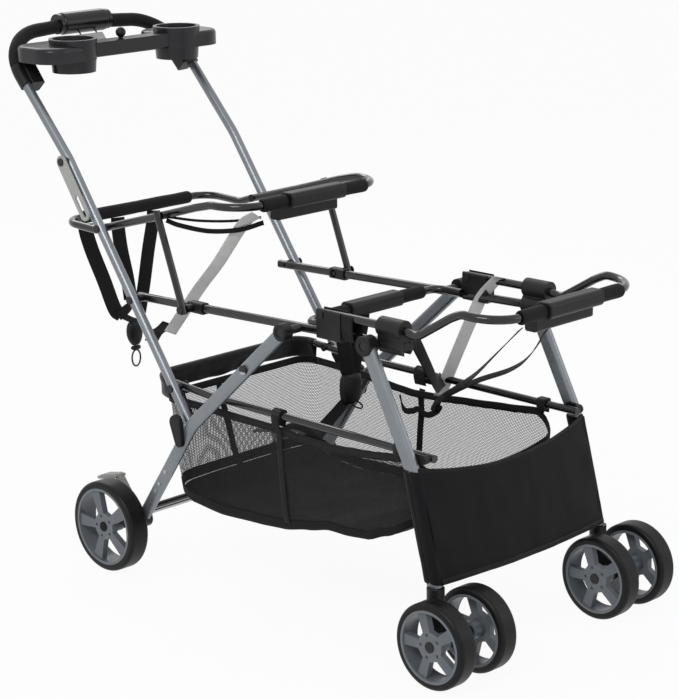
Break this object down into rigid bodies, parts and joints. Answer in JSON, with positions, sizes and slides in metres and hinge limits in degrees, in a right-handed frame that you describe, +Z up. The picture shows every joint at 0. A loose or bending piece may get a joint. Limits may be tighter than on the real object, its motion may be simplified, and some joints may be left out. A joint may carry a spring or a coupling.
{
  "type": "car seat stroller frame",
  "caption": "Folding tandem frame on wheels that carries two infant car seats, with push handle, drinks tray and basket.",
  "frame": {"origin": "on the floor under the middle of the whole frame", "axes": "+Z up, +Y along the frame towards the push handle, +X across it"},
  "size_m": [0.578, 1.2956, 1.0214],
  "materials": {
    "black_tube": "gloss powder coat",
    "silver_tube": "silver powder coat",
    "bright_steel": "zinc plated",
    "black_steel": "black oxide",
    "grey_plastic": "moulded, satin",
    "rim_plastic": "moulded, satin",
    "tyre": "smooth solid tyre",
    "foam": "closed cell foam",
    "fabric": "woven polyester and mesh",
    "webbing": "polyester webbing",
    "black_plastic": "moulded, fine grain"
  },
  "bodies": {
    "frame": {"upper_rails": "black_tube", "rail_fittings": "black_plastic", "frame_pins": "black_steel", "front_seat_bar": "black_tube", "front_seat_foam": "foam", "front_seat_cover": "black_plastic", "front_harness": "webbing"},
    "handle": {"handle_tube": "silver_tube", "handle_bolts": "black_steel", "handle_collars": "black_plastic", "handle_grips": "foam", "handle_console": "black_plastic", "drinks_tray": "black_plastic", "tray_clamps": "black_plastic", "handle_latches": "black_plastic"},
    "trigger": {"fold_trigger": "grey_plastic"},
    "hook": {"storage_hook": "grey_plastic"},
    "lower": {"lower_frame": "black_tube", "lower_clips": "black_plastic", "basket": "fabric"},
    "rear_leg_set": {"rear_legs": "silver_tube", "rear_leg_caps": "black_plastic", "leg_rivets": "bright_steel", "latch_housings": "black_plastic", "axle_brackets": "black_plastic", "rear_axle": "bright_steel"},
    "brake": {"brake_bar": "black_tube", "brake_pedals": "grey_plastic"},
    "ring": {"ring_tube": "black_tube", "ring_foam": "foam", "ring_cover": "black_plastic", "ring_strap_box": "black_plastic", "rear_harness": "webbing"},
    "posts": {"rear_posts": "black_tube"},
    "front_leg_set": {"front_legs": "silver_tube", "front_leg_caps": "black_plastic", "leg_brackets": "black_plastic", "caster_housings": "black_plastic", "front_panel": "fabric"},
    "front_bar": {"front_bar_tube": "black_tube", "front_bar_foam": "foam", "front_bar_cover": "black_plastic", "front_bar_strap_box": "black_plastic", "front_bar_clamps": "black_plastic"},
    "rear_wheel_left": {"rear_tyre_left": "tyre", "rear_rim_left": "rim_plastic"},
    "caster_left": {"caster_fork_left": "black_plastic", "caster_axle_left": "black_steel"},
    "front_wheel_left_outer": {"front_tyre_left_outer": "tyre", "front_rim_left_outer": "rim_plastic"},
    "front_wheel_left_inner": {"front_tyre_left_inner": "tyre", "front_rim_left_inner": "rim_plastic"},
    "rear_wheel_right": {"rear_tyre_right": "tyre", "rear_rim_right": "rim_plastic"},
    "caster_right": {"caster_fork_right": "black_plastic", "caster_axle_right": "black_steel"},
    "front_wheel_right_outer": {"front_tyre_right_outer": "tyre", "front_rim_right_outer": "rim_plastic"},
    "front_wheel_right_inner": {"front_tyre_right_inner": "tyre", "front_rim_right_inner": "rim_plastic"}
  },
  "joints": [
    {"name": "fold", "type": "hinge", "parent": "frame", "child": "handle", "pos_m": [0, 0.24519, 0.52681], "axis": [1, 0, 0], "range_deg": [0, 75], "deforming": ["basket"]},
    {"name": "front_leg_fold", "type": "hinge", "parent": "frame", "child": "front_leg_set", "pos_m": [0, -0.36781, 0.5452], "axis": [1, 0, 0], "range_deg": [0, 66]},
    {"name": "lower_frame_fold", "type": "hinge", "parent": "handle", "child": "lower", "pos_m": [0, 0.13798, 0.37482], "axis": [1, 0, 0], "range_deg": [-76, 0]},
    {"name": "ring_fold", "type": "hinge", "parent": "handle", "child": "ring", "pos_m": [0, 0.33281, 0.65102], "axis": [1, 0, 0], "range_deg": [-65, 0]},
    {"name": "post_fold", "type": "hinge", "parent": "frame", "child": "posts", "pos_m": [0, 0.10119, 0.53113], "axis": [1, 0, 0], "range_deg": [0, 69]},
    {"name": "rear_leg_fold", "type": "hinge", "parent": "frame", "child": "rear_leg_set", "pos_m": [0, -0.17881, 0.53953], "axis": [1, 0, 0], "range_deg": [0, 30]},
    {"name": "front_bar_hinge", "type": "hinge", "parent": "frame", "child": "front_bar", "pos_m": [0, -0.24081, 0.575], "axis": [-1, 0, 0], "range_deg": [0, 60]},
    {"name": "brake_tilt", "type": "hinge", "parent": "rear_leg_set", "child": "brake", "pos_m": [0, 0.26719, 0.102], "axis": [1, 0, 0], "range_deg": [0, 18]},
    {"name": "trigger_slide", "type": "slide", "parent": "handle", "child": "trigger", "axis": [0, 0.6743, 0.7385], "range_m": [0, 0.008], "stiffness_N_per_m": 300},
    {"name": "hook_swing", "type": "hinge", "parent": "handle", "child": "hook", "pos_m": [-0.234, 0.41697, 0.77032], "axis": [-1, 0, 0], "range_deg": [0, 60]},
    {"name": "rear_wheel_left_spin", "type": "hinge", "parent": "rear_leg_set", "child": "rear_wheel_left", "pos_m": [-0.2625, 0.27719, 0.088], "axis": [1, 0, 0], "continuous": true},
    {"name": "caster_left_swivel", "type": "hinge", "parent": "front_leg_set", "child": "caster_left", "pos_m": [-0.219, -0.52681, 0.118], "axis": [0, 0, 1], "continuous": true},
    {"name": "front_wheel_left_outer_spin", "type": "hinge", "parent": "caster_left", "child": "front_wheel_left_outer", "pos_m": [-0.27, -0.57081, 0.076], "axis": [1, 0, 0], "continuous": true},
    {"name": "front_wheel_left_inner_spin", "type": "hinge", "parent": "caster_left", "child": "front_wheel_left_inner", "pos_m": [-0.168, -0.57081, 0.076], "axis": [1, 0, 0], "continuous": true},
    {"name": "rear_wheel_right_spin", "type": "hinge", "parent": "rear_leg_set", "child": "rear_wheel_right", "pos_m": [0.2625, 0.27719, 0.088], "axis": [1, 0, 0], "continuous": true},
    {"name": "caster_right_swivel", "type": "hinge", "parent": "front_leg_set", "child": "caster_right", "pos_m": [0.219, -0.52681, 0.118], "axis": [0, 0, 1], "continuous": true},
    {"name": "front_wheel_right_outer_spin", "type": "hinge", "parent": "caster_right", "child": "front_wheel_right_outer", "pos_m": [0.27, -0.57081, 0.076], "axis": [1, 0, 0], "continuous": true},
    {"name": "front_wheel_right_inner_spin", "type": "hinge", "parent": "caster_right", "child": "front_wheel_right_inner", "pos_m": [0.168, -0.57081, 0.076], "axis": [1, 0, 0], "continuous": true}
  ],
  "couplings": [
    {"joint": "front_leg_fold", "follows": "fold", "ratio": 0.853},
    {"joint": "lower_frame_fold", "follows": "fold", "ratio": -0.984},
    {"joint": "ring_fold", "follows": "fold", "ratio": -0.8325},
    {"joint": "post_fold", "follows": "fold", "ratio": 0.891},
    {"joint": "rear_leg_fold", "follows": "fold", "ratio": 0.37}
  ]
}
